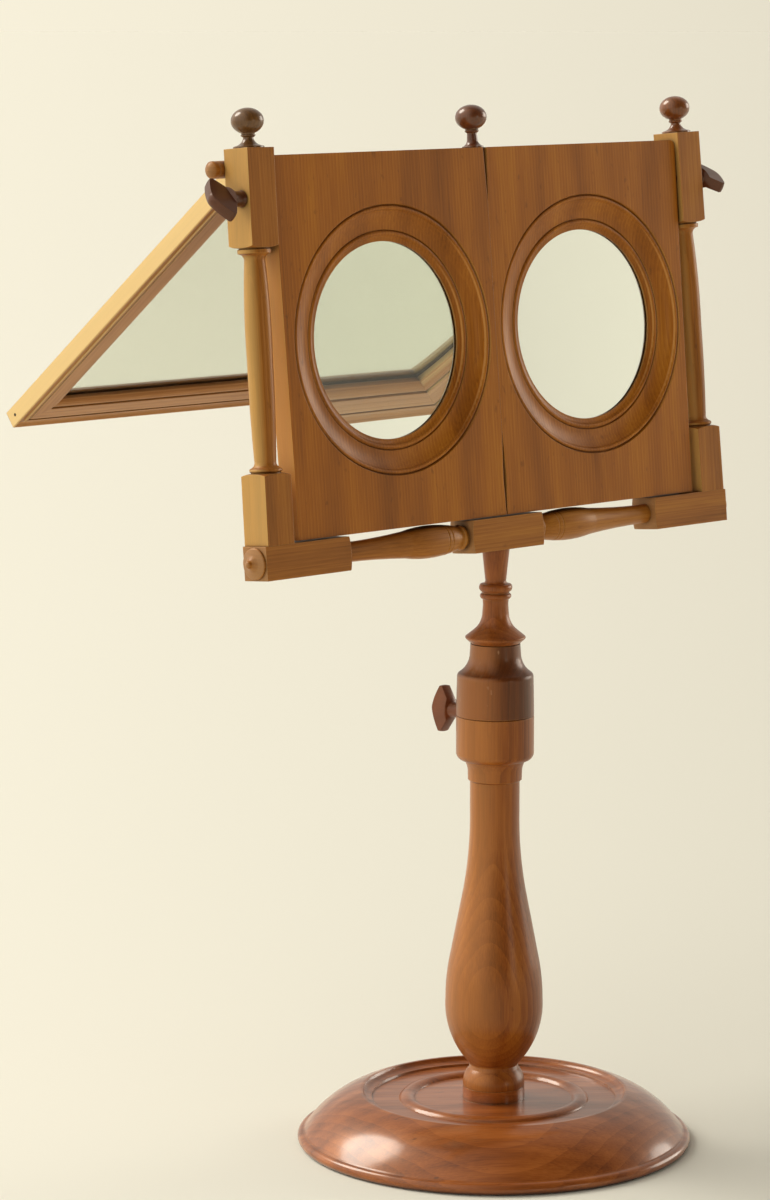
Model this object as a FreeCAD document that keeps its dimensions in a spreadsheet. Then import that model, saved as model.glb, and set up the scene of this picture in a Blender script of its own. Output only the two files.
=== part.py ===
import FreeCAD, Part
import math
import os

import Sketcher

# Twin-lens viewing stand in turned fruitwood: a round base and baluster column, a stem that slides in
# the column, and a head that leans back on it. The head is a crossbar with two posts, a lens panel hung
# between them on two wing screws, and a mirror that swings on a bar behind the posts.
# Frame: millimetres, +Z up, origin at the centre of the base's underside, the lens panel facing -Y.

doc = FreeCAD.newDocument("viewing_stand")
Vector = FreeCAD.Vector

dimensions = {
    # base
    "base_radius": 110, "base_height": 29, "rim_bead": 3.3, "shoulder_radius": 75,
    "floor_height": 24.6, "ring_outer": 53.1, "ring_inner": 43.9, "mortise_radius": 9.5,
    "mortise_floor": 11,
    # column
    "foot_radius": 17.3, "vase_radius": 27.2, "vase_height": 82, "neck_radius": 13.8,
    "collar_radius": 21.6, "collar_bottom": 217, "column_top": 282.4, "screw_height": 241,
    "joint_height": 242.4, "spigot_radius": 12.5, "spigot_top": 262,
    "bore_radius": 7.57, "bore_bottom": 90,
    # stem
    "rod_radius": 7.5, "rod_bottom": 95, "flange_radius": 16.4, "stem_seat": 335.6,
    "tenon_radius": 5.5, "tenon_length": 12, "tenon_play": 0.07,
    # head
    "bar_height": 344.1, "bar_forward": 1.3, "lean": 5.3, "bar_side": 18, "bar_half": 178.6,
    "block_inner": 118.3, "centre_half": 27.5, "post_spread": 167.75, "post_lean": 1.026,
    "post_side": 18.4, "post_height": 205.7, "lower_block": 37.3, "upper_block": 154.3,
    "post_tenon": 4.5, "tenon_depth": 10,
    # lens panel, sizes in the head's own frame
    "panel_bottom": 9.8, "panel_top": 210.4, "panel_half_top": 154.4, "panel_half_bottom": 152.7,
    "panel_front": 6.8, "panel_thick": 12.4, "seam": 1.6, "lens_spread": 76.4, "lens_height": 110.1,
    "opening_radius": 52.8, "moulding_radius": 72.4, "rebate_radius": 55.7, "rebate_depth": 7.6,
    "lens_radius": 55.5, "lens_edge": 2.4, "lens_bulge": 1.6, "dowel_radius": 2.5,
    # wing screws
    "pivot_height": 188.7, "pivot_forward": 3, "thread_radius": 3.6, "tip_radius": 2.2,
    "wing_radius": 13, "wing_thick": 6.6, "wing_width": 13.5, "column_thread": 3.6,
    # finials
    "ball_radius": 8.65, "ball_half_height": 6.9, "ball_centre": 14,
    # mirror
    "hinge_back": 13.5, "hinge_height": 204.6, "hinge_radius": 4.6, "hinge_half": 177,
    "mirror_tilt": 58, "mirror_half": 153.6, "mirror_start": 7.2, "mirror_end": 249.7,
    "rail_width": 22, "rail_thick": 10, "lip_width": 5, "glass_depth": 5.4, "glass_thick": 1.9,
    "silver_thick": 0.15, "board_thick": 1.9, "strap_thick": 1.1, "strap_width": 22, "strap_spread": 105,
}

sheet = doc.addObject("Spreadsheet::Sheet", "Dims")
for row, (alias, number) in enumerate(dimensions.items(), start=1):
    sheet.set("A%d" % row, alias)
    sheet.set("B%d" % row, str(number))
    sheet.setAlias("B%d" % row, alias)
doc.recompute()


class Size:
    """A length with both its value and the sheet expression that gives it."""

    def __init__(self, value, text):
        self.value = float(value)
        self.text = text

    def combine(self, other, sign, result):
        return Size(result, "(%s %s %s)" % (self.text, sign, other.text))

    def __add__(self, other):
        other = sized(other)
        return self.combine(other, "+", self.value + other.value)

    def __sub__(self, other):
        other = sized(other)
        return self.combine(other, "-", self.value - other.value)

    def __mul__(self, other):
        other = sized(other)
        return self.combine(other, "*", self.value * other.value)

    def __truediv__(self, other):
        other = sized(other)
        return self.combine(other, "/", self.value / other.value)

    def __neg__(self):
        return self * -1


def sized(number):
    return number if isinstance(number, Size) else Size(number, "%.12g" % number)


def dim(alias):
    return Size(sheet.get(alias), "Dims." + alias)


def bind(target, path, size):
    target.setExpression(path, size.text)


# ---------------------------------------------------------------- sketches and turned bodies

def arc_between(start, end, turn):
    """Arc from start to end that turns by this many degrees, left when positive."""
    chord = end - start
    radius = chord.Length / 2 / math.sin(math.radians(abs(turn)) / 2)
    normal = Vector(-chord.y, chord.x, 0).normalize()
    reach = radius * math.cos(math.radians(abs(turn)) / 2)
    centre = (start + end) * 0.5 + normal * math.copysign(reach, turn)
    first, last = (start, end) if turn > 0 else (end, start)
    begin = math.atan2(first.y - centre.y, first.x - centre.x)
    finish = math.atan2(last.y - centre.y, last.x - centre.x)
    if finish < begin:
        finish += 2 * math.pi
    return Part.ArcOfCircle(Part.Circle(centre, Vector(0, 0, 1), radius), begin, finish)


def cap_turn(radius, rise):
    """Turn of an arc from this radius to the axis that rises this much, as part of a sphere."""
    return math.degrees(2 * math.atan(sized(rise).value / sized(radius).value))


def draw_outline(sketch, steps):
    """Closed outline through steps (x, y) or (x, y, turn), where turn bends the edge that leaves it.

    Every corner is held by its two sizes, and every arc by the angle it turns.
    """
    corners = [(sized(step[0]), sized(step[1])) for step in steps]
    turns = [step[2] if len(step) > 2 else 0 for step in steps]
    points = [Vector(across.value, along.value, 0) for across, along in corners]
    count = len(points)
    for index, turn in enumerate(turns):
        start, end = points[index], points[(index + 1) % count]
        edge = arc_between(start, end, turn) if turn else Part.LineSegment(start, end)
        sketch.addGeometry(edge, False)
    starts = [1 if turn >= 0 else 2 for turn in turns]
    for index, turn in enumerate(turns):
        after = (index + 1) % count
        sketch.addConstraint(Sketcher.Constraint(
            "Coincident", index, 3 - starts[index], after, starts[after]))
        if turn:
            sketch.addConstraint(Sketcher.Constraint("Angle", index, math.radians(abs(turn))))
        for kind, size, axis in (("DistanceX", corners[index][0], -2), ("DistanceY", corners[index][1], -1)):
            if abs(size.value) < 1e-9:
                sketch.addConstraint(Sketcher.Constraint("PointOnObject", index, starts[index], axis))
                continue
            held = sketch.addConstraint(Sketcher.Constraint(kind, -1, 1, index, starts[index], size.value))
            if "Dims." in size.text:
                sketch.setExpression("Constraints[%d]" % held, size.text)


def origin_feature(body, role):
    return next(item for item in body.Origin.OriginFeatures if item.Role == role)


def new_body(label):
    body = doc.addObject("PartDesign::Body", label)
    body.Label = label
    return body


def new_sketch(body, plane, steps, offset=None):
    sketch = body.newObject("Sketcher::SketchObject", body.Name + "_outline")
    sketch.AttachmentSupport = [(origin_feature(body, plane), "")]
    sketch.MapMode = "FlatFace"
    if offset:
        sketch.AttachmentOffset = offset
    draw_outline(sketch, steps)
    return sketch


def feature(body, kind, sketch, **settings):
    made = body.newObject("PartDesign::" + kind, body.Name + "_" + kind.lower())
    made.Profile = sketch
    for name, value in settings.items():
        if isinstance(value, Size):
            bind(made, name, value)
        else:
            setattr(made, name, value)
    body.Tip = made
    return made


def turned(label, steps):
    """Body turned about Z from an outline of (radius, height) steps."""
    body = new_body(label)
    sketch = new_sketch(body, "XZ_Plane", steps)
    feature(body, "Revolution", sketch, ReferenceAxis=(sketch, ["V_Axis"]), Angle=360)
    return body


def rod(label, radius, length, place):
    """Part::Cylinder along its own Z from place."""
    made = doc.addObject("Part::Cylinder", label)
    bind(made, "Radius", sized(radius))
    bind(made, "Height", sized(length))
    made.Placement = place
    return made


def fused(label, shapes):
    made = doc.addObject("Part::MultiFuse", label)
    made.Shapes = shapes
    return made


def cut(label, base, tools):
    made = doc.addObject("Part::Cut", label)
    made.Label = label
    made.Base = base
    made.Tool = tools[0] if len(tools) == 1 else fused(label + "_tools", tools)
    return made


# ---------------------------------------------------------------- places

def place(x=0, y=0, z=0, axis=(0, 0, 1), angle=0):
    return FreeCAD.Placement(Vector(x, y, z), FreeCAD.Rotation(Vector(*axis), angle))


def val(alias):
    return dim(alias).value


along_x = place(axis=(0, 1, 0), angle=90)
along_y = place(axis=(1, 0, 0), angle=-90)
head_place = place(0, -val("bar_forward"), val("bar_height"), (1, 0, 0), -val("lean"))
bar_top = val("bar_side") / 2
nodes = []


def keep(body, where=None):
    """Marks an object as a finished piece and sets its place."""
    if where:
        body.Placement = where
    nodes.append(body)
    return body


def post_place(side):
    return head_place * place(side * val("post_spread"), 0, bar_top, (0, 1, 0), -side * val("post_lean"))


def post_axis_at(height):
    """Distance of a post's centre line from the middle, at a height in the head's frame."""
    return val("post_spread") - (height - bar_top) * math.tan(math.radians(val("post_lean")))


# ---------------------------------------------------------------- base and column

rim = dim("rim_bead")
base_edge = dim("base_radius") - rim
floor_at = dim("floor_height")
keep(turned("base", [
    (0, 0),
    (base_edge, 0, 180),
    (base_edge, rim * 2),
    (base_edge - 0.8, rim * 2 + 0.6, 38),
    (dim("shoulder_radius"), dim("base_height")),
    (dim("shoulder_radius") - 1.5, dim("base_height"), -75),
    (dim("shoulder_radius") - 5.6, floor_at + 1.4),
    (dim("shoulder_radius") - 6.6, floor_at + 1.2),
    (dim("shoulder_radius") - 7, floor_at),
    (dim("ring_outer") + 0.5, floor_at),
    (dim("ring_outer"), floor_at, 115),
    (dim("ring_inner"), floor_at),
    (dim("ring_inner") - 0.6, floor_at),
    (dim("foot_radius") + 0.1, floor_at + 0.3),
    (dim("foot_radius"), floor_at + 7.2),
    (dim("mortise_radius"), floor_at + 7.2),
    (dim("mortise_radius"), dim("mortise_floor")),
    (0, dim("mortise_floor")),
]))

foot = dim("foot_radius")
vase = dim("vase_radius")
neck = dim("neck_radius")
collar = dim("collar_radius")
collar_low = dim("collar_bottom")
column_top = dim("column_top")
joint_at = dim("joint_height")
spigot = dim("spigot_radius")
spigot_top = dim("spigot_top")
column_blank = turned("column_blank", [
    (0, dim("mortise_floor") + 0.2),
    (dim("mortise_radius"), dim("mortise_floor") + 0.2),
    (dim("mortise_radius"), floor_at + 7.2),
    (foot - 0.2, floor_at + 7.2),
    (foot - 0.1, floor_at + 8, 48),
    (foot - 3.3, floor_at + 17.6),
    (foot - 3.9, floor_at + 19.4),
    (foot - 3.7, floor_at + 20.4),
    (foot - 3, floor_at + 21, 46),
    (vase, dim("vase_height"), 10),
    (vase - 1.8, dim("vase_height") + 20.7),
    (neck + 3.4, dim("vase_height") + 63, -11),
    (neck, dim("vase_height") + 108),
    (neck, collar_low - 11.6),
    (neck + 1.2, collar_low - 10.6),
    (neck + 1.3, collar_low - 6, -30),
    (neck + 3.1, collar_low),
    (collar - 3, collar_low + 0.4, 62),
    (collar, collar_low + 4.2),
    (collar, joint_at - 0.4),
    (collar - 0.4, joint_at),
    (spigot, joint_at),
    (spigot, spigot_top),
    (dim("bore_radius"), spigot_top),
    (dim("bore_radius"), dim("bore_bottom")),
    (0, dim("bore_bottom")),
])
column_hole = rod("column_hole", dim("column_thread") + 0.06, collar + 4,
                  place(0, 0, val("screw_height")) * along_y)
keep(cut("column", column_blank, [column_hole]))

# the collar is a cap glued over the column's spigot
collar_blank = turned("collar_blank", [
    (spigot, joint_at),
    (collar - 0.4, joint_at),
    (collar, joint_at + 0.4),
    (collar - 0.4, column_top - 18.4, 60),
    (collar - 2, column_top - 15.8, -52),
    (neck + 0.4, column_top - 5.8),
    (neck, column_top),
    (dim("bore_radius"), column_top),
    (dim("bore_radius"), spigot_top + 0.2),
    (spigot, spigot_top + 0.2),
])
keep(cut("collar", collar_blank, [column_hole]))

# ---------------------------------------------------------------- stem

rod_radius = dim("rod_radius")
flange = dim("flange_radius")
seat = dim("stem_seat")
keep(turned("stem", [
    (0, dim("rod_bottom")),
    (rod_radius - 1, dim("rod_bottom")),
    (rod_radius, dim("rod_bottom") + 1),
    (rod_radius, column_top + 0.3),
    (flange - 2.8, column_top + 0.3),
    (flange - 0.2, column_top + 2.7, 120),
    (flange - 0.1, column_top + 4.3),
    (flange - 4.2, column_top + 7.6, -48),
    (rod_radius - 0.1, column_top + 16.4),
    (rod_radius - 0.45, column_top + 22),
    (rod_radius - 0.3, seat - 28.6),
    (rod_radius - 0.1, seat - 28.2, 150),
    (rod_radius, seat - 25),
    (rod_radius + 0.3, seat - 24.2, 110),
    (rod_radius + 0.9, seat - 20),
    (rod_radius - 1.2, seat - 19.4, -60),
    (rod_radius - 1.6, seat - 17.2),
    (rod_radius + 0.2, seat),
    (dim("tenon_radius"), seat),
    (dim("tenon_radius"), seat + dim("tenon_length")),
    (0, seat + dim("tenon_length")),
]))

# ---------------------------------------------------------------- thumbscrews


def screw_outline(tip_radius, tip_length, thread, thread_length, neck_length):
    """Half outline of a turned screw along its axis, from its tip at 0 out to its double-cone head."""
    wing = dim("wing_radius")
    width = dim("wing_width")
    root = sized(tip_length) + thread_length
    neck_end = root + neck_length
    steps = [(0, 0), (tip_radius - 0.4, 0), (tip_radius, 0.5)]
    if tip_length:
        steps += [(tip_radius, tip_length)]
    steps += [
        (thread, sized(tip_length) + 0.4),
        (thread, root),
        (4.5, root + 0.6),
        (4.1, root + 2, -8),
        (4.4, neck_end),
        (wing, neck_end + width * 0.46, 24),
        (wing, neck_end + width * 0.6, 14),
        (3.4, neck_end + width, cap_turn(3.4, 1)),
        (0, neck_end + 1 + width),
    ]
    return steps


def thumbscrew(label, tip_radius, tip_length, thread, thread_length, neck_length, turn, where):
    """Screw turned about its own Z, its head planed to a wing by cutting away both cheeks."""
    body = new_body(label)
    outline = screw_outline(tip_radius, tip_length, thread, thread_length, neck_length)
    sketch = new_sketch(body, "XZ_Plane", outline)
    feature(body, "Revolution", sketch, ReferenceAxis=(sketch, ["V_Axis"]), Angle=360)
    head_start = sized(tip_length) + thread_length + neck_length - 0.8
    half = dim("wing_thick") / 2
    reach = dim("wing_radius") + 1
    for sign in (-1, 1):
        cheek = new_sketch(body, "XZ_Plane", [
            (half * sign, head_start + 2.6),
            (reach * sign, head_start - 1.5),
            (reach * sign, head_start + 20),
            (half * sign * 0.8, head_start + 20),
        ])
        feature(body, "Pocket", cheek, Type="ThroughAll", SideType="Symmetric")
    keep(body, where * place(axis=(0, 0, 1), angle=turn))
    return body


column_screw_reach = dim("collar_radius") - dim("bore_radius") - 0.3
thumbscrew("column_screw", dim("column_thread") - 0.6, 2, dim("column_thread"), column_screw_reach, 9.7, 3,
           place(0, val("bore_radius") + 0.3, val("screw_height")) * along_y)

# ---------------------------------------------------------------- crossbar

bar = new_body("crossbar_blank")
half_side = dim("bar_side") / 2
square = [(-half_side, -half_side), (half_side, -half_side), (half_side, half_side), (-half_side, half_side)]
feature(bar, "Pad", new_sketch(bar, "YZ_Plane", square), Length=dim("bar_half") * 2, SideType="Symmetric")
inner = dim("centre_half")
outer = dim("block_inner")
clear = dim("bar_side") * 0.75
baluster = new_sketch(bar, "XY_Plane", [
    (-outer - 1.4, clear, -20),
    (-outer, 8.7),
    (-outer, 5.5),
    (-outer + 3, 5.35, 5),
    (-inner - 44, 7.4, -16),
    (-inner - 17.6, 8.5),
    (-inner - 17, 8.1),
    (-inner - 16.4, 8.4),
    (-inner - 14.6, 8.2),
    (-inner - 14, 7.8),
    (-inner - 13.4, 8, -12),
    (-inner - 4.2, 6.1),
    (-inner - 3.6, 6.4, -120),
    (-inner - 1.6, 6.4),
    (-inner - 1.2, 5.9),
    (-inner, 5.9),
    (-inner, 8.7, -20),
    (-inner + 1.4, clear),
])
shaft = feature(bar, "Groove", baluster, ReferenceAxis=(origin_feature(bar, "X_Axis"), [""]), Angle=360)
end_at = dim("bar_half")
nipple = new_sketch(bar, "XY_Plane", [
    (-end_at + 0.5, 0),
    (-end_at + 0.5, 8.4),
    (-end_at - 1, 8.4, 40),
    (-end_at - 1.5, 7.7),
    (-end_at - 2.4, 4.6, -24),
    (-end_at - 4.2, 2.2),
    (-end_at - 5.6, 1.7, cap_turn(1.7, 0.8)),
    (-end_at - 6.4, 0),
])
tip = feature(bar, "Revolution", nipple, ReferenceAxis=(origin_feature(bar, "X_Axis"), [""]), Angle=360)
mirrored = bar.newObject("PartDesign::Mirrored", "crossbar_other_end")
mirrored.Originals = [shaft, tip]
mirrored.MirrorPlane = (origin_feature(bar, "YZ_Plane"), [""])
bar.Tip = mirrored
bar.Placement = head_place

socket_depth = dim("tenon_length") + 0.4
play = dim("tenon_play")
socket = rod("stem_socket", dim("tenon_radius") + play, socket_depth + 6, place(0, 0, val("stem_seat") - 6))
spot = rod("stem_spot", rod_radius + 0.5, 8, place(0, 0, val("stem_seat") - 8 + 0.1))
mortises = [
    rod("post_mortise", dim("post_tenon"), dim("tenon_depth") + 0.3,
        post_place(side) * place(z=-val("tenon_depth") - 0.3))
    for side in (-1, 1)
]
keep(cut("crossbar", bar, [socket, spot] + mortises))

# ---------------------------------------------------------------- posts

pivot_in_post = val("pivot_height") - bar_top
hinge_in_post = val("hinge_height") - bar_top
hinge_line = head_place * place(-200, val("hinge_back"), val("hinge_height")) * along_x
pivot_line = head_place * place(-200, -val("pivot_forward"), val("pivot_height")) * along_x
hinge_tool = rod("hinge_seat", dim("hinge_radius"), 400, hinge_line)
pivot_tool = rod("pivot_hole", dim("thread_radius") + 0.06, 400, pivot_line)


def bar_screw_place(side):
    """Place of a hinge bar screw: its own Z points forward, from the back of the bar into the post."""
    across = side * post_axis_at(val("hinge_height"))
    back = val("hinge_back") + val("hinge_radius")
    return head_place * place(across, back, val("hinge_height"), (1, 0, 0), 90)


def make_post(side, name):
    blank = new_body(name + "_blank")
    half = dim("post_side") / 2
    foot_slope = half * (math.tan(math.radians(val("post_lean"))) * side)
    front_view = [(-half, foot_slope), (half, -foot_slope), (half, dim("post_height")),
                  (-half, dim("post_height"))]
    feature(blank, "Pad", new_sketch(blank, "XZ_Plane", front_view), Length=half * 2, SideType="Symmetric")
    low = dim("lower_block")
    high = dim("upper_block")
    far = dim("post_side") * 0.75
    shaft_outline = new_sketch(blank, "XZ_Plane", [
        (far, low - 1.6, 24),
        (8.9, low),
        (7.9, low),
        (7.9, low + 0.4),
        (8.1, low + 0.7, 130),
        (7.9, low + 2.7),
        (7.1, low + 3.1),
        (6.2, low + 4, -40),
        (5.8, low + 6.6, 3),
        (6.8, low + 58, 6),
        (5.5, high - 6.4),
        (5.6, high - 5.6, -70),
        (8.2, high - 3.1),
        (8.8, high - 2.9),
        (8.8, high - 0.9),
        (8, high - 0.6),
        (8.1, high),
        (9, high, 24),
        (far, high + 1.6),
    ])
    feature(blank, "Groove", shaft_outline, ReferenceAxis=(shaft_outline, ["V_Axis"]), Angle=360)
    tenon = new_sketch(blank, "XZ_Plane", [
        (0, -dim("tenon_depth")),
        (dim("post_tenon"), -dim("tenon_depth")),
        (dim("post_tenon"), 1),
        (0, 1),
    ])
    feature(blank, "Revolution", tenon, ReferenceAxis=(tenon, ["V_Axis"]), Angle=360)
    blank.Placement = post_place(side)
    finial_hole = rod(name + "_finial_hole", 2.5, 12, post_place(side) * place(z=val("post_height") - 8.2))
    screw_hole = rod(name + "_screw_hole", 1.2, 22, bar_screw_place(side) * place(z=-4))
    keep(cut(name, blank, [hinge_tool, pivot_tool, finial_hole, screw_hole]))


make_post(-1, "left_post")
make_post(1, "right_post")

# ---------------------------------------------------------------- finials


def finial(label, where, disc, stretch=0):
    """Ball finial: an oblate ball made of short arcs, each turning as an ellipse does there."""
    wide = dim("ball_radius")
    tall = dim("ball_half_height")
    mid = dim("ball_centre") + stretch
    angles = (-65, -30, 0, 30, 65)

    def heading(angle):
        return math.degrees(math.atan2(tall.value * math.cos(math.radians(angle)),
                                       -wide.value * math.sin(math.radians(angle))))

    ball = []
    for here, after in zip(angles, angles[1:]):
        across = wide * math.cos(math.radians(here))
        along = mid + tall * math.sin(math.radians(here))
        ball.append((across, along, heading(after) - heading(here)))
    steps = [
        (0, -8),
        (2.5, -8),
        (2.5, 0),
        (disc, 0),
        (disc, 0.8),
        (disc - 0.9, 1.2, -58),
        (2.9, 4.4),
        (2.7, 5.4 + stretch),
        (3.6, 6.1 + stretch, 120),
        (3.5, 7.2 + stretch),
    ]
    shoulder = math.radians(angles[-1])
    across = wide * math.cos(shoulder)
    along = tall * math.sin(shoulder)
    crown = [(across, mid + along, cap_turn(across, tall - along)), (0, mid + tall)]
    keep(turned(label, steps + ball + crown), where)


finial_lean = {-1: "left_finial", 1: "right_finial"}
for side, name in finial_lean.items():
    finial(name, post_place(side) * place(z=val("post_height")), 8.2)
panel_middle = -val("panel_front") + val("panel_thick") / 2
centre_finial_place = head_place * place(-1.4, panel_middle, val("panel_top"))
finial("centre_finial", centre_finial_place, 5.9, 2.6)

# ---------------------------------------------------------------- lens panel

front = dim("panel_front")
thick = dim("panel_thick")
tip_hole = rod("tip_hole", dim("tip_radius") + 0.06, 400, pivot_line)
far_half = dim("panel_half_top")
dowel_heights = (24, 62, 158, 196)
dowel_reach = 15


def dowels(label):
    pins = [
        rod(label + "_pin", dim("dowel_radius"), dowel_reach * 2,
            head_place * place(val("seam") - dowel_reach, panel_middle, height) * along_x)
        for height in dowel_heights
    ]
    group = fused(label, pins)
    group.Label = label
    return group


def edge_holes():
    """The two pivot holes in the panel's outer edges."""
    depth = 6
    return [
        rod("edge_hole", dim("tip_radius") + 0.06, depth + 4,
            head_place * place(start, -val("pivot_forward"), val("pivot_height")) * along_x)
        for start in (-val("panel_half_top") - 4, val("panel_half_top") - depth)
    ]


def lens_place(side):
    return head_place * place(val("seam") + side * val("lens_spread"), -val("panel_front"),
                              val("lens_height"))


def board(side, name):
    """One board of the panel, in a frame at its lens centre on the front face."""
    blank = new_body(name + "_blank")
    lens_x = dim("seam") + dim("lens_spread") * side
    low = dim("panel_bottom") - dim("lens_height")
    high = dim("panel_top") - dim("lens_height")
    joint = -dim("lens_spread") * side
    top_out = dim("panel_half_top") * side - lens_x
    low_out = dim("panel_half_bottom") * side - lens_x
    gap = 0.55 * side
    joint_edge = [
        (joint + gap * 0.6, low),
        (joint + gap * 2.2, low + 20),
        (joint + gap * 0.1, low + 46),
        (joint + gap * 0.1, high - 30),
        (joint + gap * 1.8, high - 10),
        (joint + gap * 2.6, high),
    ]
    if side > 0:
        steps = [(low_out, low), (top_out - 0.05, high - 3.5, 88), (top_out - 3.5, high)]
        steps += joint_edge[::-1]
    else:
        steps = joint_edge + [(top_out, high), (low_out, low)]
    outline = new_sketch(blank, "XZ_Plane", steps)
    feature(blank, "Pad", outline, Length=thick, Reversed=True)
    ring = dim("moulding_radius")
    hole = dim("opening_radius")
    rebate = dim("rebate_radius")
    shelf = dim("rebate_depth")
    moulding = new_sketch(blank, "XY_Plane", [
        (0, -1),
        (ring, -1),
        (ring, 0),
        (ring - 0.5, 1.3),
        (ring - 0.8, 1.2, -150),
        (ring - 3.2, 1.4),
        (ring - 3.5, 1.8, 32),
        (hole + 6.2, 4.6),
        (hole + 5.8, 5.4),
        (hole + 5.5, 5.2, -130),
        (hole + 2.9, 5.3),
        (hole + 2.6, 5.7, 40),
        (hole, 6.4),
        (hole, shelf),
        (rebate, shelf),
        (rebate, thick + 1),
        (0, thick + 1),
    ])
    feature(blank, "Groove", moulding, ReferenceAxis=(moulding, ["V_Axis"]), Angle=360)
    blank.Placement = lens_place(side)
    finial_hole = rod(name + "_finial_hole", 2.5, 12, centre_finial_place * place(z=-8.2))
    keep(cut(name, blank, edge_holes() + [dowels(name + "_dowel_holes"), finial_hole]))


board(-1, "left_board")
board(1, "right_board")
keep(dowels("panel_dowels"))

edge = dim("lens_edge")
bulge = dim("lens_bulge")
lens_turn = cap_turn(dim("lens_radius"), bulge)
for side, word in ((-1, "left"), (1, "right")):
    where = lens_place(side) * along_y * place(z=val("rebate_depth") + 0.2)
    keep(turned(word + "_lens", [
        (0, -bulge, lens_turn),
        (dim("lens_radius"), 0),
        (dim("lens_radius"), edge, lens_turn),
        (0, edge + bulge),
    ]), where)
    keep(turned(word + "_lens_ring", [
        (dim("opening_radius") + 0.2, edge + 0.3),
        (dim("rebate_radius") - 0.05, edge + 0.3),
        (dim("rebate_radius") - 0.05, dim("panel_thick") - dim("rebate_depth") - 0.4),
        (dim("opening_radius") + 1, dim("panel_thick") - dim("rebate_depth") - 0.4),
    ]), where)

# ---------------------------------------------------------------- wing screws

tip_start = dim("panel_half_top") - 5
post_face = post_axis_at(val("pivot_height")) + val("post_side") / 2
tip_length = 5.4
for side, name, neck_length, turn in ((-1, "left_wing_screw", 7.4, 133), (1, "right_wing_screw", 4, 32)):
    outward = place(side * tip_start.value, -val("pivot_forward"), val("pivot_height"), (0, 1, 0), 90 * side)
    thumbscrew(name, dim("tip_radius"), tip_length, dim("thread_radius"),
               sized(post_face) - tip_start - tip_length, neck_length, turn, head_place * outward)

# ---------------------------------------------------------------- mirror hinge

bar_end = dim("hinge_half")
bar_thick = dim("hinge_radius")
knob_turn = cap_turn(bar_thick - 0.4, 2)
hinge_blank = turned("hinge_bar_blank", [
    (0, -bar_end - 4.4, knob_turn),
    (bar_thick - 0.4, -bar_end - 2.4, 40),
    (bar_thick, -bar_end - 1.6),
    (bar_thick, -bar_end + 0.4),
    (bar_thick - 0.4, -bar_end + 0.8),
    (bar_thick, -bar_end + 1.2),
    (bar_thick, bar_end - 1.2),
    (bar_thick - 0.4, bar_end - 0.8),
    (bar_thick, bar_end - 0.4),
    (bar_thick, bar_end + 1.6, 40),
    (bar_thick - 0.4, bar_end + 2.4, knob_turn),
    (0, bar_end + 4.4),
])
hinge_place = head_place * place(0, val("hinge_back"), val("hinge_height"))
hinge_blank.Placement = hinge_place * along_x
screw_holes = [rod("bar_screw_hole", 1.2, 22, bar_screw_place(side) * place(z=-4)) for side in (-1, 1)]
keep(cut("hinge_bar", hinge_blank, screw_holes))

bar_screws = []
for side in (-1, 1):
    screw = turned("bar_screw", [
        (0, -1.3),
        (1.5, -1.2, 60),
        (2.6, 0.35),
        (1.2, 0.35),
        (1.2, 16),
        (0, 17.5),
    ])
    screw.Placement = bar_screw_place(side) * place(z=-0.4)
    bar_screws.append(screw)
group = fused("hinge_bar_screws", bar_screws)
keep(group)

# ---------------------------------------------------------------- mirror

mirror_place = hinge_place * place(axis=(1, 0, 0), angle=val("mirror_tilt"))
mirror_high = dim("mirror_end") - dim("mirror_start")
mirror_mid = -(dim("mirror_end") + dim("mirror_start")) / 2
rail = dim("rail_width")
deep = dim("rail_thick")
glass_at = dim("glass_depth")
rebate_in = rail - dim("lip_width")

# section of a rail: depth behind the front plane, then distance in from the outer edge
rail_section = [
    (deep, 0),
    (deep, rebate_in),
    (glass_at, rebate_in),
    (glass_at, rail),
    (3.3, rail),
    (2.9, rail - 0.5, 62),
    (0.9, rail - 4.2),
    (1.4, rail - 4.4),
    (1.4, rail - 5),
    (0.3, rail - 5.2),
    (0.3, rail - 14.4),
    (1.2, rail - 14.6),
    (1.2, rail - 15.2),
    (0.2, rail - 15.4),
    (0.2, rail - 16.6),
    (1, rail - 17, -48),
    (0.1, 1),
    (0, 0.4),
    (0.5, 0),
]


def pins_along(label, radius, spots):
    """Group of straight pins, each from a place and a length, along its own Z."""
    pins = [rod(label + "_pin", radius, length, mirror_place * where) for where, length in spots]
    group = fused(label, pins)
    group.Label = label
    return group


pin_level = val("glass_depth") + val("glass_thick") + val("silver_thick") + val("board_thick") + 0.4
half_wide = val("mirror_half")
top_edge = -val("mirror_start")
low_edge = -val("mirror_end")
rebate_wide = val("rail_width") - val("lip_width")


def backboard_pin_spots():
    """Headless pins pushed into the rebate walls, over the backboard."""
    spots = []
    for across in (-90, 0, 90):
        spots.append((place(across, pin_level, top_edge - rebate_wide - 4), 9))
        spots.append((place(across, pin_level, low_edge + rebate_wide - 5), 9))
    for along in (-60, 60):
        height = mirror_mid.value + along
        spots.append((place(-half_wide + rebate_wide - 5, pin_level, height) * along_x, 9))
        spots.append((place(half_wide - rebate_wide - 4, pin_level, height) * along_x, 9))
    return spots


def corner_nail_spots():
    """One nail through each side rail into the end of the top or bottom rail."""
    return [
        (place(side * half_wide, 5, height, (0, 1, 0), -90 * side), 20)
        for side in (-1, 1) for height in (top_edge - 6, low_edge + 6)
    ]


strap_hole = 1.3


def strap_screw_spots(reach):
    """Screws through the top rail and the strap's leaf, from the mirror's back."""
    return [
        (place(side * val("strap_spread") + offset, val("rail_thick") + 0.05, top_edge - 6.5, (1, 0, 0), 90),
         reach)
        for side in (-1, 1) for offset in (-6, 6)
    ]


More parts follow.
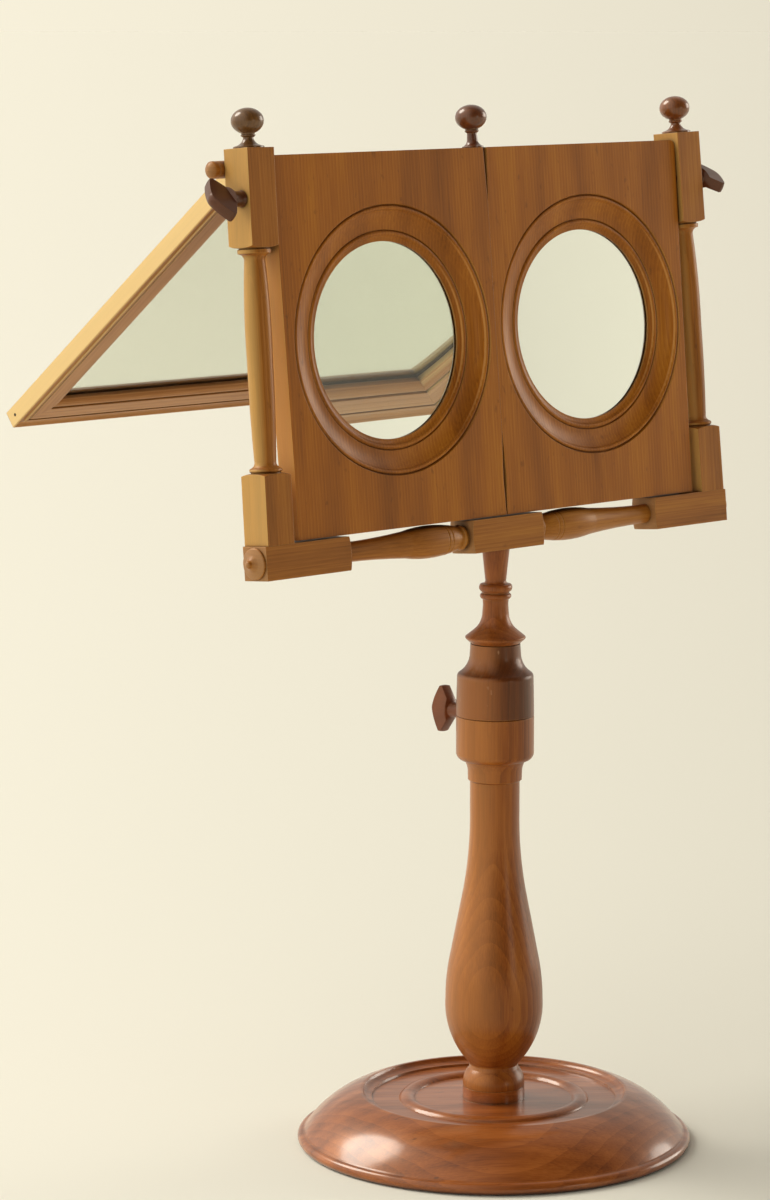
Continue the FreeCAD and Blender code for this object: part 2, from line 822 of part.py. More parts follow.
leaf_back = dim("hinge_radius") + 0.08 + dim("strap_thick")
leaf_low = 20.5


def leaf_box(label, side, spare):
    """Flat leaf of a hinge strap, hanging from the bar into a slot in the top rail."""
    box = doc.addObject("Part::Box", label)
    bind(box, "Length", dim("strap_width") + spare * 2)
    bind(box, "Width", dim("strap_thick") + spare * 2)
    bind(box, "Height", sized(leaf_low + spare))
    corner = Vector(side * val("strap_spread") - val("strap_width") / 2 - spare,
                    leaf_back.value - val("strap_thick") - spare, -leaf_low - spare)
    box.Placement = mirror_place * FreeCAD.Placement(corner, FreeCAD.Rotation())
    return box


def make_rail(label, length, turn, shift, extra):
    """Moulded rail along its own X with mitred ends, its outer edge on X and its inner edge above."""
    blank = new_body(label + "_blank")
    feature(blank, "Pad", new_sketch(blank, "YZ_Plane", rail_section), Length=length, SideType="Symmetric")
    reach = length / 2
    for side in (-1, 1):
        wedge = new_sketch(blank, "XZ_Plane", [
            (reach * side, 0),
            ((reach + 3) * side, 0),
            ((reach + 3) * side, rail + 3),
            ((reach - rail - 3) * side, rail + 3),
        ])
        feature(blank, "Pocket", wedge, Type="ThroughAll", SideType="Symmetric")
    blank.Placement = mirror_place * shift * place(axis=(0, 1, 0), angle=turn)
    nails = pins_along(label + "_nails", 0.9, corner_nail_spots())
    pins = pins_along(label + "_pins", 0.4, backboard_pin_spots())
    keep(cut(label, blank, [nails, pins] + extra))


wide = dim("mirror_half") * 2
slots = [leaf_box("strap_slot", side, 0.1) for side in (-1, 1)]
strap_holes = pins_along("strap_screw_holes", strap_hole, strap_screw_spots(8.5))
make_rail("mirror_bottom_rail", wide, 0, place(z=low_edge), [])
make_rail("mirror_top_rail", wide, 180, place(z=top_edge), slots + [strap_holes])
make_rail("mirror_left_rail", mirror_high, 90, place(x=-half_wide, z=mirror_mid.value), [])
make_rail("mirror_right_rail", mirror_high, -90, place(x=half_wide, z=mirror_mid.value), [])


def sheet_of(label, thickness, level):
    """Flat rectangle that fills the rebate, its front face at a depth behind the frame's front."""
    made = doc.addObject("Part::Box", label)
    fit = 0.2
    bind(made, "Length", (dim("mirror_half") - rebate_in - fit) * 2)
    bind(made, "Width", thickness)
    bind(made, "Height", mirror_high - rebate_in * 2 - fit * 2)
    corner = Vector(-half_wide + rebate_wide + fit, level.value, low_edge + rebate_wide + fit)
    return keep(made, mirror_place * FreeCAD.Placement(corner, FreeCAD.Rotation()))


sheet_of("mirror_glass", dim("glass_thick"), glass_at)
sheet_of("mirror_silvering", dim("silver_thick"), glass_at + dim("glass_thick"))
sheet_of("mirror_backboard", dim("board_thick"), glass_at + dim("glass_thick") + dim("silver_thick"))
keep(pins_along("backboard_pins", 0.4, backboard_pin_spots()))
keep(pins_along("corner_nails", 0.9, corner_nail_spots()))

for side, name in ((-1, "left_hinge_strap"), (1, "right_hinge_strap")):
    start = side * val("strap_spread") - val("strap_width") / 2
    knuckle = rod(name + "_knuckle", leaf_back, dim("strap_width"), mirror_place * place(x=start) * along_x)
    eye = rod(name + "_eye", dim("hinge_radius") + 0.08, dim("strap_width") + 2,
              mirror_place * place(x=start - 1) * along_x)
    leaf = leaf_box(name + "_leaf", side, 0)
    strap = fused(name + "_sheet", [knuckle, leaf])
    holes = pins_along(name + "_holes", strap_hole, strap_screw_spots(8.5))
    keep(cut(name, strap, [eye, holes]))

keep(pins_along("strap_screws", strap_hole, strap_screw_spots(8)))

# ---------------------------------------------------------------- checks and files

doc.recompute()
faults = [item.Label for item in doc.Objects if {"Invalid", "Error"} & set(item.State)]
for body in nodes:
    shape = body.Shape
    if shape.isNull() or not shape.isValid() or not shape.Solids:
        faults.append(body.Label)
if faults:
    raise SystemExit("not built: " + ", ".join(faults))

os.makedirs("parts", exist_ok=True)
for body in nodes:
    body.Shape.exportStep("parts/%s.step" % body.Label)
    print("%-20s %2d solid(s) %10.1f mm3" % (body.Label, len(body.Shape.Solids), body.Shape.Volume))
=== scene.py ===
import math

import bpy
import numpy as np
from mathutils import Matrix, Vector


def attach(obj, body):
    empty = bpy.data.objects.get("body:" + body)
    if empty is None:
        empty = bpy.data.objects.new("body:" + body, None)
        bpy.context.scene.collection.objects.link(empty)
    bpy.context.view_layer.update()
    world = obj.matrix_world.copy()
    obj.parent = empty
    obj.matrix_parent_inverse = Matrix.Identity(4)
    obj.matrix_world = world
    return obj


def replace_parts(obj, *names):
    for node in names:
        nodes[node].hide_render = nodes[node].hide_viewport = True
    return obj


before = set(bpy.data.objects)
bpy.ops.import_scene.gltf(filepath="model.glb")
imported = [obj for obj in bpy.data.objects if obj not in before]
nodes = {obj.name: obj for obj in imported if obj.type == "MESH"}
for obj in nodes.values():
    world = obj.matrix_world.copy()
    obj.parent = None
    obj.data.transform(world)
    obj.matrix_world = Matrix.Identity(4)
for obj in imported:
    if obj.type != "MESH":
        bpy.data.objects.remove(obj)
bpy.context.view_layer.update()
print("frame loaded:", len(nodes), "nodes")

lean = math.radians(5.3)  # how far the head leans back on the crossbar
headAt = (0, -0.0013, 0.3441)  # the middle of the crossbar, m
upHead = Vector((0, math.sin(lean), math.cos(lean)))
acrossHead = Vector((1, 0, 0))
mirrorSlope = math.radians(58) - lean  # how far the mirror swings out from the vertical below its bar
downMirror = Vector((0, math.sin(mirrorSlope), -math.cos(mirrorSlope)))


def toLinear(hexColour):
    # sRGB hex to linear light
    parts = [int(hexColour[i:i + 2], 16) / 255 for i in (1, 3, 5)]
    return tuple(c / 12.92 if c <= 0.04045 else ((c + 0.055) / 1.055) ** 2.4 for c in parts) + (1.0,)


def addNode(tree, kind, inputs=None, **settings):
    # one node with its settings; an input is a plain value or another node's output
    made = tree.nodes.new("ShaderNode" + kind)
    for key, value in settings.items():
        setattr(made, key, value)
    for key, value in (inputs or {}).items():
        socket = made.inputs[key]
        if isinstance(value, bpy.types.NodeSocket):
            tree.links.new(value, socket)
        else:
            socket.default_value = value
    return made


def newMaterial(name):
    material = bpy.data.materials.new(name)
    material.use_nodes = True
    return material, material.node_tree, material.node_tree.nodes["Principled BSDF"]


woodLook = {
    "light": "#C48A48", "middle": "#A5662C", "dark": "#74401A",
    "grain": (0, 0, 1),                       # direction of the fibres
    "heart": (0.3, 0.05),                     # where the tree's centre lies, across the fibres, m
    "ringGap": 0.0022,                        # one year's growth, m
    "wander": (28, 28, 6),                    # bends of the rings per metre, across and along the fibres
    "figure": 0.0016,                         # how far the rings bend, m
    "streakWidth": 0.0007, "streakLength": 0.03,  # fibres, drawn coarse enough to show
    "bandWidth": 0.014, "bandLength": 0.16,   # slow changes of tone
    "ringShare": 0.22, "streakShare": 0.3, "bandShare": 0.55, "shift": 0.0,
    "fleck": 0.0, "fleckTint": "#3A1C0C",
    "fleckScale": (260, 260, 120),            # per metre: marks about 4 mm wide and 8 mm long
    "leftLit": 0.0, "leftLitTint": "#F2D08E",  # left-hand faces, painted lighter as if lit by the window on the left
    # painted shade: a dark tint mixed in where ambient occlusion finds quirks and inner corners
    "creaseShade": "#2E1608", "creaseShadeDepth": 0.004, "creaseShadeShare": 0.8,
    "wornEdge": "#D9A35C", "wornShare": 0.3, "edgeRadius": 0.0006,
    "rough": (0.36, 0.5), "coat": 0.3, "coatRough": 0.22,
    "specular": 0.36, "specularTint": "#FFD09A",  # amber cast of old shellac
    "bump": 0.00004,                          # depth of the open grain, m
    "turnedGap": 0.0,                         # spacing of the lathe's marks, m
}
waveUnit = 0.314159  # the ring wave repeats once in this length at a scale of 1


def wood(name, **changes):
    # Polished fruitwood such as pear or cherry: close, even grain, growth rings as fine darker lines, short
    # fibres under a thin wax coat, paler where hands have worn the arrises, painted shade in the quirks,
    # painted light on left-facing faces.
    look = {**woodLook, **changes}
    material, tree, shader = newMaterial(name)
    place = addNode(tree, "TexCoord").outputs["Object"]
    turn = Vector(look["grain"]).normalized().rotation_difference(Vector((0, 0, 1))).to_euler()
    grained = addNode(tree, "Mapping", {"Vector": place, "Rotation": turn}).outputs[0]
    # rings: distance from the heart, bent by a slow noise along the fibres
    wander = addNode(tree, "TexNoise", {
        "Vector": addNode(tree, "Mapping", {"Vector": grained, "Scale": look["wander"]}).outputs[0],
        "Scale": 1, "Detail": 2})
    offset = addNode(tree, "VectorMath", {
        0: wander.outputs["Color"], 1: (look["figure"] * 2,) * 3,
        2: (-look["figure"] - look["heart"][0], -look["figure"] - look["heart"][1], 0)},
        operation="MULTIPLY_ADD").outputs[0]
    moved = addNode(tree, "VectorMath", {0: grained, 1: offset}, operation="ADD").outputs[0]
    rings = addNode(tree, "TexWave", {
        "Vector": moved, "Scale": waveUnit / look["ringGap"],
        "Distortion": 0.6, "Detail": 2, "Detail Scale": 0.5},
        wave_type="RINGS", rings_direction="Z", wave_profile="SAW").outputs["Fac"]
    streaks = addNode(tree, "TexNoise", {
        "Vector": addNode(tree, "Mapping", {"Vector": grained, "Scale": (
            1 / look["streakWidth"], 1 / look["streakWidth"], 1 / look["streakLength"])}).outputs[0],
        "Scale": 1, "Detail": 3, "Roughness": 0.6}).outputs["Fac"]
    bands = addNode(tree, "TexNoise", {
        "Vector": addNode(tree, "Mapping", {"Vector": grained, "Scale": (
            1 / look["bandWidth"], 1 / look["bandWidth"], 1 / look["bandLength"])}).outputs[0],
        "Scale": 1, "Detail": 2, "Roughness": 0.5}).outputs["Fac"]
    # the three parts added as one tone, 0.5 on average; a noise keeps mostly within its spread of 0.5
    middling = 0.5 - look["ringShare"] / 2 + look["shift"]
    tone = addNode(tree, "Math", {0: rings, 1: look["ringShare"], 2: middling},
                   operation="MULTIPLY_ADD").outputs[0]
    for part, spread, share in ((streaks, 0.18, look["streakShare"]), (bands, 0.2, look["bandShare"])):
        added = addNode(tree, "MapRange", {"Value": part, "From Min": 0.5 - spread, "From Max": 0.5 + spread,
                                           "To Min": -share / 2, "To Max": share / 2}).outputs[0]
        tone = addNode(tree, "Math", {0: tone, 1: added}, operation="ADD").outputs[0]
    ramp = addNode(tree, "ValToRGB", {"Fac": tone})
    lightest, darkest = ramp.color_ramp.elements
    lightest.color, lightest.position = toLinear(look["light"]), 0.05
    darkest.color, darkest.position = toLinear(look["dark"]), 0.95
    ramp.color_ramp.elements.new(0.5).color = toLinear(look["middle"])
    colour = ramp.outputs["Color"]
    if look["fleck"]:
        # short flecks along the fibres, the size of bruises and old filler
        specks = addNode(tree, "TexNoise", {
            "Vector": addNode(tree, "Mapping", {"Vector": grained, "Scale": look["fleckScale"]}).outputs[0],
            "Scale": 1, "Detail": 2}).outputs["Fac"]
        marked = addNode(tree, "MapRange", {"Value": specks, "From Min": 0.68, "From Max": 0.76,
                                            "To Max": look["fleck"]}).outputs[0]
        colour = addNode(tree, "Mix", {0: marked, 6: colour, 7: toLinear(look["fleckTint"])},
                         data_type="RGBA").outputs[2]
    # painted light: faces turned to the left are mixed toward a paler tint, standing in for the window's
    # light on them
    if look["leftLit"]:
        leftward = addNode(tree, "VectorMath", {
            0: addNode(tree, "TexCoord").outputs["Normal"], 1: (-1, 0, 0)},
            operation="DOT_PRODUCT").outputs["Value"]
        leftLitShare = addNode(tree, "MapRange", {"Value": leftward, "From Min": 0.5, "From Max": 0.95,
                                           "To Max": look["leftLit"]}).outputs[0]
        colour = addNode(tree, "Mix", {0: leftLitShare, 6: colour, 7: toLinear(look["leftLitTint"])},
                         data_type="RGBA").outputs[2]
    # worn arrises: where the rounded-off normal leaves the true one
    rounded = addNode(tree, "Bevel", {"Radius": look["edgeRadius"]}, samples=4).outputs[0]
    flat = addNode(tree, "NewGeometry").outputs["Normal"]
    edge = addNode(tree, "MapRange", {
        "Value": addNode(tree, "VectorMath", {0: rounded, 1: flat}, operation="DOT_PRODUCT").outputs["Value"],
        "From Min": 0.999, "From Max": 0.9, "To Max": look["wornShare"]}).outputs[0]
    colour = addNode(tree, "Mix", {0: edge, 6: colour, 7: toLinear(look["wornEdge"])},
                     data_type="RGBA").outputs[2]
    # painted shade in the quirks and inner corners, where ambient occlusion finds them
    shade = addNode(tree, "AmbientOcclusion", {"Distance": look["creaseShadeDepth"]}, samples=6).outputs["AO"]
    creaseShaded = addNode(tree, "MapRange", {
        "Value": shade, "From Min": 0.8, "From Max": 0.3, "To Max": look["creaseShadeShare"]}).outputs[0]
    colour = addNode(tree, "Mix", {0: creaseShaded, 6: colour, 7: toLinear(look["creaseShade"])},
                     data_type="RGBA").outputs[2]
    tree.links.new(colour, shader.inputs["Base Color"])
    low, high = look["rough"]
    gloss = addNode(tree, "MapRange", {"Value": bands, "From Min": 0.3, "From Max": 0.7,
                                       "To Min": low, "To Max": high}).outputs[0]
    tree.links.new(gloss, shader.inputs["Roughness"])
    shader.inputs["Specular IOR Level"].default_value = look["specular"]
    shader.inputs["Specular Tint"].default_value = toLinear(look["specularTint"])
    shader.inputs["Coat Weight"].default_value = look["coat"]
    shader.inputs["Coat Roughness"].default_value = look["coatRough"]
    height = streaks
    if look["turnedGap"]:
        # the lathe's marks, fine rings along the fibres
        along = addNode(tree, "SeparateXYZ", {0: grained}).outputs["Z"]
        cuts = addNode(tree, "TexNoise", {"W": addNode(tree, "Math", {0: along, 1: 1 / look["turnedGap"]},
                                                       operation="MULTIPLY").outputs[0], "Scale": 1},
                       noise_dimensions="1D").outputs["Fac"]
        height = addNode(tree, "Math", {0: cuts, 1: 0.6, 2: streaks}, operation="MULTIPLY_ADD").outputs[0]
    bumped = addNode(tree, "Bump", {"Height": height, "Distance": look["bump"], "Strength": 1,
                                    "Normal": rounded}).outputs[0]
    tree.links.new(bumped, shader.inputs["Normal"])
    return material


baseLook = {"light": "#B0642A", "middle": "#914C1A", "dark": "#6A3210", "grain": (0.75, -0.66, 0.02),
            "heart": (0.03, -0.09), "ringGap": 0.004, "bandWidth": 0.012, "bandLength": 0.08,
            "streakLength": 0.02, "coat": 0.85, "coatRough": 0.16, "rough": (0.34, 0.44),
            "creaseShade": "#2A1208", "fleck": 0.5}
columnLook = {"light": "#AC6624", "middle": "#8C4A17", "dark": "#62300E", "leftLit": 0.35,
              "leftLitTint": "#CC8C4E", "heart": (0.04, 0.03), "ringGap": 0.0026, "coat": 0.35,
              "turnedGap": 0.0012, "fleck": 0.25}
collarLook = {"light": "#7C3F15", "middle": "#5E2E10", "dark": "#432009", "leftLit": 0.55,
              "leftLitTint": "#B4713C", "heart": (-0.03, 0.05), "ringGap": 0.0022, "coat": 0.4,
              "turnedGap": 0.0012, "fleck": 0.4, "fleckTint": "#C9A27C"}
stemLook = {"light": "#B06C30", "middle": "#94501E", "dark": "#6C3511", "heart": (0.04, 0.03),
            "ringGap": 0.0026, "coat": 0.4, "turnedGap": 0.0012}
panelLook = {"light": "#BC7826", "middle": "#A05D18", "dark": "#76400E", "grain": upHead, "coat": 0.1,
             "wornEdge": "#C08238", "bandWidth": 0.02, "bandShare": 0.5, "fleck": 0.35, "leftLit": 0.75,
             "leftLitTint": "#E0A45C"}
frameLook = {"light": "#B6782F", "middle": "#9D6022", "dark": "#764312", "fleck": 0.25, "coat": 0.12}
postLook = {**frameLook, "grain": upHead, "heart": (0.25, 0.06), "leftLit": 0.55, "leftLitTint": "#D2AC66"}
barLook = {**frameLook, "grain": acrossHead, "heart": (0.4, 0.03), "leftLit": 0.6, "leftLitTint": "#9E7C58"}
# paler than the frame's wood: partly its own tone, partly painted light standing in for the stronger light
# its rails catch
mirrorLook = {"light": "#C28D50", "middle": "#AE773E", "dark": "#8A582B", "leftLit": 0.8,
              "leftLitTint": "#F4D696"}
finialLook = {"grain": upHead, "heart": (0.05, 0.02), "coat": 0.9, "coatRough": 0.16, "turnedGap": 0.0012}
screwLook = {"grain": acrossHead, "heart": (0.02, 0.02), "coat": 0.5, "coatRough": 0.16,
             "wornEdge": "#86573A", "bandShare": 0.3, "ringShare": 0.05, "streakShare": 0.15}
backLook = {"light": "#C9AA78", "middle": "#B39160", "dark": "#8A6A40", "grain": acrossHead,
            "heart": (0.2, 0.3), "ringGap": 0.006, "coat": 0.0, "rough": (0.6, 0.75)}

materials = {
    "base": wood("polished_pearwood_base", **baseLook),
    "column": wood("waxed_pearwood_column", **columnLook),
    "collar": wood("waxed_pearwood_collar", **collarLook),
    "stem": wood("waxed_pearwood_stem", **stemLook),
    "leftBoard": wood("quartered_cherry_left_board", heart=(-0.7, 0.12), shift=0.04, **panelLook),
    "rightBoard": wood("quartered_cherry_right_board", heart=(0.6, 0.1), **panelLook),
    "upright": wood("waxed_pearwood_post", **postLook),
    "bar": wood("waxed_pearwood_bar", **barLook),
    "mirrorAcross": wood("waxed_cherry_rail", grain=acrossHead, heart=(0.5, 0.2), **mirrorLook),
    "mirrorAlong": wood("waxed_cherry_stile", grain=downMirror, heart=(0.4, 0.2), **mirrorLook),
    "leftFinial": wood("polished_fruitwood_ball_left", light="#8A5C2C", middle="#704A22", dark="#4E3114",
                       **finialLook),
    "centreFinial": wood("polished_fruitwood_ball_centre", light="#7A421E", middle="#5E3018", dark="#43200F",
                         **finialLook),
    "finial": wood("polished_fruitwood_ball", light="#925024", middle="#764018", dark="#54290F",
                   **finialLook),
    "screw": wood("stained_boxwood_clamp", light="#8A4A2A", middle="#72391E", dark="#522713", **screwLook),
    "wing": wood("stained_boxwood_wing", light="#62301C", middle="#4E2513", dark="#381A0C", **screwLook),
    "back": wood("planed_pine_back", **backLook),
}


def glassMaterial(name, tint):
    # Old crown glass: clear, with a faint green cast
    material, tree, shader = newMaterial(name)
    shader.inputs["Base Color"].default_value = toLinear(tint)
    shader.inputs["Roughness"].default_value = 0.0
    shader.inputs["IOR"].default_value = 1.5
    shader.inputs["Transmission Weight"].default_value = 1.0
    return material


def metalMaterial(name, tints, rough):
    # Metal with a mottled surface, about 2.5 mm to a spot; the silvering behind the glass is all but even
    material, tree, shader = newMaterial(name)
    place = addNode(tree, "TexCoord").outputs["Object"]
    mottle = addNode(tree, "TexNoise", {"Vector": place, "Scale": 400, "Detail": 4}).outputs["Fac"]
    colour = addNode(tree, "Mix", {0: mottle, 6: toLinear(tints[0]), 7: toLinear(tints[1])},
                     data_type="RGBA").outputs[2]
    tree.links.new(colour, shader.inputs["Base Color"])
    gloss = addNode(tree, "MapRange", {"Value": mottle, "To Min": rough[0], "To Max": rough[1]}).outputs[0]
    tree.links.new(gloss, shader.inputs["Roughness"])
    shader.inputs["Metallic"].default_value = 1.0
    return material


materials["lens"] = glassMaterial("ground_crown_glass_lens", "#F6FAF4")
materials["pane"] = glassMaterial("mirror_plate_glass", "#FCFEFA")
materials["silver"] = metalMaterial("tin_mercury_silvering", ("#F2F4EE", "#EEF0E8"), (0.0, 0.0))
materials["brass"] = metalMaterial("aged_brass", ("#B08D4A", "#8A6A34"), (0.3, 0.5))
materials["iron"] = metalMaterial("dull_iron", ("#5A534B", "#3A3530"), (0.5, 0.7))

madeOf = {
    "base": ["base"], "column": ["column"], "collar": ["collar"], "stem": ["stem"],
    "screw": ["column_screw"], "wing": ["left_wing_screw", "right_wing_screw"],
    "bar": ["crossbar", "hinge_bar", "panel_dowels"], "upright": ["left_post", "right_post"],
    "leftFinial": ["left_finial"], "centreFinial": ["centre_finial"],
    "finial": ["right_finial", "left_lens_ring", "right_lens_ring"],
    "leftBoard": ["left_board"], "rightBoard": ["right_board"],
    "mirrorAcross": ["mirror_bottom_rail", "mirror_top_rail"],
    "mirrorAlong": ["mirror_left_rail", "mirror_right_rail"],
    "lens": ["left_lens", "right_lens"], "pane": ["mirror_glass"], "silver": ["mirror_silvering"],
    "back": ["mirror_backboard"], "iron": ["backboard_pins", "corner_nails"],
    "brass": ["hinge_bar_screws", "left_hinge_strap", "right_hinge_strap", "strap_screws"],
}
for finish, pieces in madeOf.items():
    for piece in pieces:
        nodes[piece].data.materials.clear()
        nodes[piece].data.materials.append(materials[finish])
print("materials set on", sum(len(pieces) for pieces in madeOf.values()), "pieces")

lensLook = {
    "radius": 0.0555, "bulge": 0.0016, "edge": 0.0024,  # edge is the thickness at the rim
    "spread": 0.0764, "seam": 0.0016,    # each centre's distance from the panel's seam, and the seam's from 0
    "height": 0.1101, "depth": 0.001,    # the centre's height and the rim's depth from the crossbar's middle
    "rings": 28, "steps": 120, "hub": 0.004,  # hub is the small flat at the pole, a share of the radius
}


def groundLens(name, side):
    # Two shallow caps and a plain edge: sag = bulge * (1 - (r / R)^2), r from 0 to R, both ways from the edge
    rings, steps = lensLook["rings"], lensLook["steps"]
    r = np.linspace(lensLook["hub"], 1, rings)
    sag = lensLook["bulge"] * (1 - r ** 2)
    across = np.concatenate([r, r[::-1]]) * lensLook["radius"]
    depth = np.concatenate([-sag, lensLook["edge"] + sag[::-1]])
    around = np.linspace(0, 2 * np.pi, steps + 1)[:-1]
    points = np.stack([across[:, None] * np.cos(around), np.broadcast_to(depth[:, None], (2 * rings, steps)),
                       across[:, None] * np.sin(around)], -1).reshape(-1, 3)
    row, column = np.meshgrid(np.arange(2 * rings - 1), np.arange(steps), indexing="ij")
    after = (column + 1) % steps
    faces = np.stack([row * steps + column, (row + 1) * steps + column, (row + 1) * steps + after,
                      row * steps + after], -1).reshape(-1, 4)
    last = (2 * rings - 1) * steps
    hubs = [list(range(steps)), list(range(last + steps - 1, last - 1, -1))]
    # into the stand's frame: the panel leans back about the crossbar
    centre = np.array([lensLook["seam"] + side * lensLook["spread"], lensLook["depth"], lensLook["height"]])
    turn = np.array([[1, 0, 0], [0, math.cos(lean), math.sin(lean)], [0, -math.sin(lean), math.cos(lean)]])
    mesh = bpy.data.meshes.new(name)
    mesh.from_pydata((points + centre) @ turn.T + np.array(headAt), [], faces.tolist() + hubs)
    mesh.set_sharp_from_angle(angle=math.radians(30))
    mesh.materials.append(materials["lens"])
    lens = bpy.data.objects.new(name, mesh)
    bpy.context.scene.collection.objects.link(lens)
    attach(lens, "panel")
    return lens


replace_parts(groundLens("leftLensGlass", -1), "left_lens")
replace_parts(groundLens("rightLensGlass", 1), "right_lens")
print("lenses ground")

paneLook = {"thinned": 0.1}


def floatedPane():
    # The mirror's own plate, thinned along its normal so that it stands just clear of the silvering:
    # p - n * thinned * ((p - middle) . n)
    source = nodes["mirror_glass"].data
    points = np.empty(len(source.vertices) * 3)
    source.vertices.foreach_get("co", points)
    points = points.reshape(-1, 3)
    normal = np.array(acrossHead.cross(downMirror).normalized())
    middle = (points.max(0) + points.min(0)) / 2
    points = points - normal * paneLook["thinned"] * ((points - middle) @ normal)[:, None]
    mesh = source.copy()
    mesh.name = "floatedPane"
    mesh.vertices.foreach_set("co", points.ravel())
    mesh.update()
    pane = bpy.data.objects.new("floatedPane", mesh)
    pane.matrix_world = nodes["mirror_glass"].matrix_world.copy()
    bpy.context.scene.collection.objects.link(pane)
    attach(pane, "mirror")
    return pane


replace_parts(floatedPane(), "mirror_glass")
print("mirror glazed")

cameraLook = {"at": (-1.5699, -1.5526, 0.6392), "heading": (0.69135, 0.72252), "pitch": -8.571,
              "lens": 121.61, "sensor": 36, "clipEnd": 100}
paperLook = {
    "tint": "#EFEEE2",
    "fall": 0.84,         # painted shade: tone at the right of the view, against the left
    "halfView": 0.1,      # side / distance at which the tone stops changing
    "radius": 60.0, "hub": 0.02, "growth": 1.5, "rings": 9, "steps": 96,
    "rough": 0.95, "specular": 0.1,
}
roomLook = {
    "behindPower": (1.0922, 1.0294, 0.9294),  # brightness past the paper's edge
    "bright": "#FFFAF0", "brightPower": 1.25,
    "dim": "#FFF4E4", "dimPower": 0.07,
    # where the room's light comes from: a window on the left, and the paper behind
    "brightSides": (((-0.8, 0.55, 0.22), 1.0), ((0.68, 0.72, 0.12), 0.48)),
}


def paintedFalloffPaper(tree, vector):
    # Painted light: the paper's tone falls off evenly across the view, darker to the right as if lit from the
    # left: side / distance, along the camera's heading
    alongX, alongY = cameraLook["heading"]
    flat = addNode(tree, "VectorMath", {0: vector, 1: (1, 1, 0)}, operation="MULTIPLY").outputs[0]
    aside = addNode(tree, "VectorMath", {0: flat, 1: (alongY, -alongX, 0)},
                    operation="DOT_PRODUCT")
    far = addNode(tree, "VectorMath", {0: flat}, operation="LENGTH")
    slope = addNode(tree, "Math", {0: aside.outputs["Value"], 1: far.outputs["Value"]},
                    operation="DIVIDE").outputs[0]
    share = addNode(tree, "MapRange", {"Value": slope, "From Min": -paperLook["halfView"],
                                       "From Max": paperLook["halfView"]}).outputs[0]
    tint = toLinear(paperLook["tint"])
    shadedTint = tuple(c * paperLook["fall"] for c in tint[:3]) + (1.0,)
    return addNode(tree, "Mix", {0: share, 6: tint, 7: shadedTint}, data_type="RGBA").outputs[2]


def paperFloor():
    # A flat round sheet: x = r cos a, y = r sin a, with r growing in rings and a in equal steps
    rings, steps = paperLook["rings"], paperLook["steps"]
    around = np.linspace(0, 2 * np.pi, steps + 1)[:-1]
    radius = paperLook["radius"] * np.linspace(paperLook["hub"], 1, rings) ** paperLook["growth"]
    points = np.stack([radius[:, None] * np.cos(around), radius[:, None] * np.sin(around),
                       np.zeros((rings, steps))], -1).reshape(-1, 3)
    row, column = np.meshgrid(np.arange(rings - 1), np.arange(steps), indexing="ij")
    after = (column + 1) % steps
    faces = np.stack([row * steps + column, (row + 1) * steps + column, (row + 1) * steps + after,
                      row * steps + after], -1).reshape(-1, 4)
    mesh = bpy.data.meshes.new("paperFloor")
    mesh.from_pydata(points, [], faces.tolist() + [list(range(steps))])
    sheet = bpy.data.objects.new("paperFloor", mesh)
    bpy.context.scene.collection.objects.link(sheet)
    # Backdrop paper: matt, with next to no shine
    material, tree, shader = newMaterial("matt_backdrop_paper")
    spot = addNode(tree, "VectorMath", {
        0: addNode(tree, "TexCoord").outputs["Object"], 1: (-cameraLook["at"][0], -cameraLook["at"][1], 0)},
        operation="ADD").outputs[0]
    # the paper's colour carries the painted falloff, darker to the right
    tree.links.new(paintedFalloffPaper(tree, spot), shader.inputs["Base Color"])
    shader.inputs["Roughness"].default_value = paperLook["rough"]
    shader.inputs["Specular IOR Level"].default_value = paperLook["specular"]
    mesh.materials.append(material)


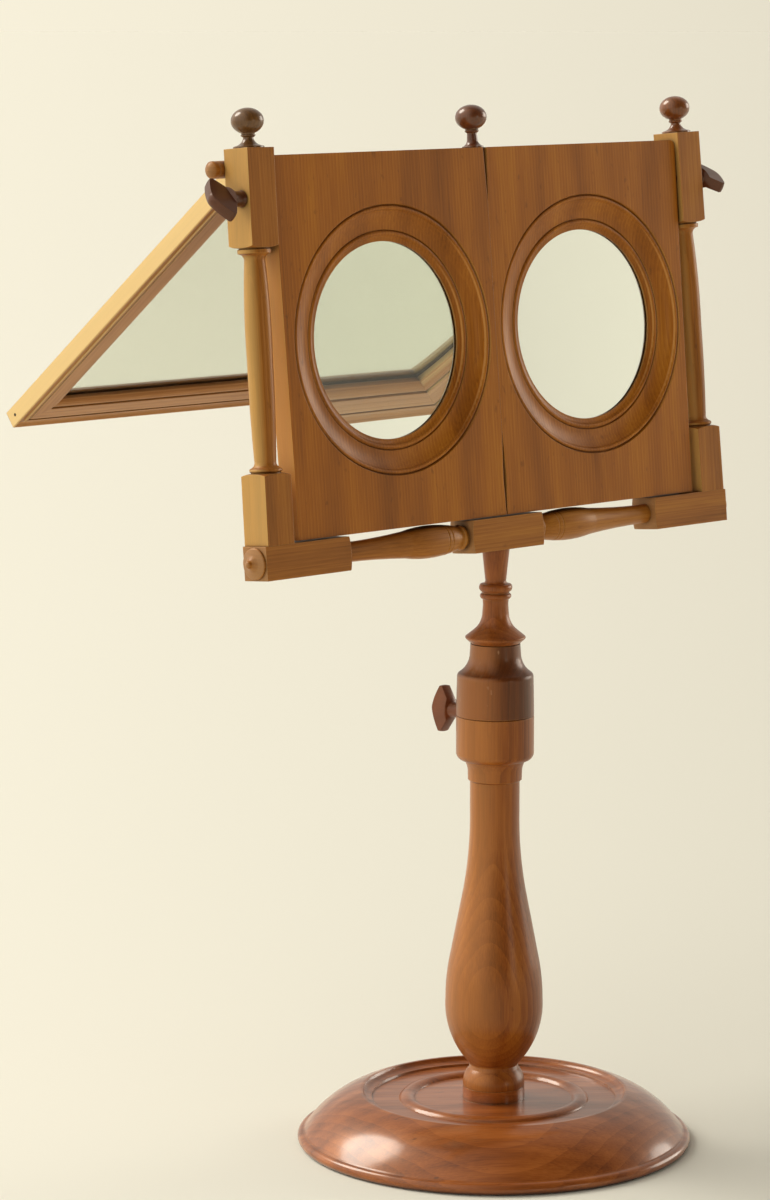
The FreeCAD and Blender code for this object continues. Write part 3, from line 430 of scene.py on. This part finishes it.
def studioWorld():
    # A dim room with two bright sides; beyond the sheet the camera, and what it sees in glass and mirror,
    # meets plain pale paper with the same painted falloff
    world = bpy.data.worlds.new("studio")
    bpy.context.scene.world = world
    world.use_nodes = True
    tree = world.node_tree
    room = tree.nodes["Background"]
    facing = addNode(tree, "TexCoord").outputs["Generated"]
    share = 0.0
    for side, power in roomLook["brightSides"]:
        towards = addNode(tree, "VectorMath", {0: facing, 1: Vector(side).normalized()},
                          operation="DOT_PRODUCT").outputs["Value"]
        lobe = addNode(tree, "MapRange", {"Value": towards, "From Max": 0.8, "To Max": power},
                       interpolation_type="SMOOTHSTEP").outputs[0]
        share = addNode(tree, "Math", {0: share, 1: lobe}, operation="MAXIMUM").outputs[0]
    tint = addNode(tree, "Mix", {0: share, 6: toLinear(roomLook["dim"]), 7: toLinear(roomLook["bright"])},
                   data_type="RGBA").outputs[2]
    power = addNode(tree, "MapRange", {"Value": share, "To Min": roomLook["dimPower"],
                                       "To Max": roomLook["brightPower"]}).outputs[0]
    tree.links.new(tint, room.inputs["Color"])
    tree.links.new(power, room.inputs["Strength"])
    plain = addNode(tree, "Background", {"Color": addNode(tree, "VectorMath", {
        0: paintedFalloffPaper(tree, facing), 1: roomLook["behindPower"]}, operation="MULTIPLY").outputs[0]})
    path = addNode(tree, "LightPath")
    clear = addNode(tree, "Math", {0: path.outputs["Is Camera Ray"], 1: path.outputs["Is Singular Ray"]},
                    operation="MAXIMUM").outputs[0]
    either = addNode(tree, "MixShader", {0: clear, 1: room.outputs[0], 2: plain.outputs[0]})
    tree.links.new(either.outputs[0], tree.nodes["World Output"].inputs["Surface"])


lights = {
    "key": {"from": (-0.28, 0.68, 0.68), "power": 2.0, "spread": 29, "tint": "#FFF9EE"},
    "fill": {"from": (0.08, -0.99, 0.1), "power": 0.14, "spread": 16, "tint": "#FFF6E6"},
    "side": {"from": (0.95, -0.25, 0.15), "power": 1.2, "spread": 34, "tint": "#FFF8EC"},
}


def hangLight(name, look):
    # a broad far lamp: its spread, in degrees, softens the shadows
    lamp = bpy.data.lights.new(name, "SUN")
    lamp.angle = math.radians(look["spread"])
    lamp.energy = look["power"]
    lamp.color = toLinear(look["tint"])[:3]
    holder = bpy.data.objects.new(name, lamp)
    bpy.context.scene.collection.objects.link(holder)
    holder.rotation_mode = "QUATERNION"
    holder.rotation_quaternion = (-Vector(look["from"])).to_track_quat("-Z", "Y")
    holder.visible_transmission = False


def setCamera():
    pitch = math.radians(cameraLook["pitch"])
    ahead = Vector((*(c * math.cos(pitch) for c in cameraLook["heading"]), math.sin(pitch)))
    camera = bpy.data.objects.new("camera", bpy.data.cameras.new("camera"))
    bpy.context.scene.collection.objects.link(camera)
    camera.data.lens = cameraLook["lens"]
    camera.data.sensor_width = cameraLook["sensor"]
    camera.data.clip_end = cameraLook["clipEnd"]
    camera.location = cameraLook["at"]
    camera.rotation_mode = "QUATERNION"
    camera.rotation_quaternion = ahead.to_track_quat("-Z", "Y")
    bpy.context.scene.camera = camera


paperFloor()
studioWorld()
for name, look in lights.items():
    hangLight(name, look)
setCamera()
bpy.context.scene.view_settings.view_transform = "Standard"
print("stage, lights and camera set")
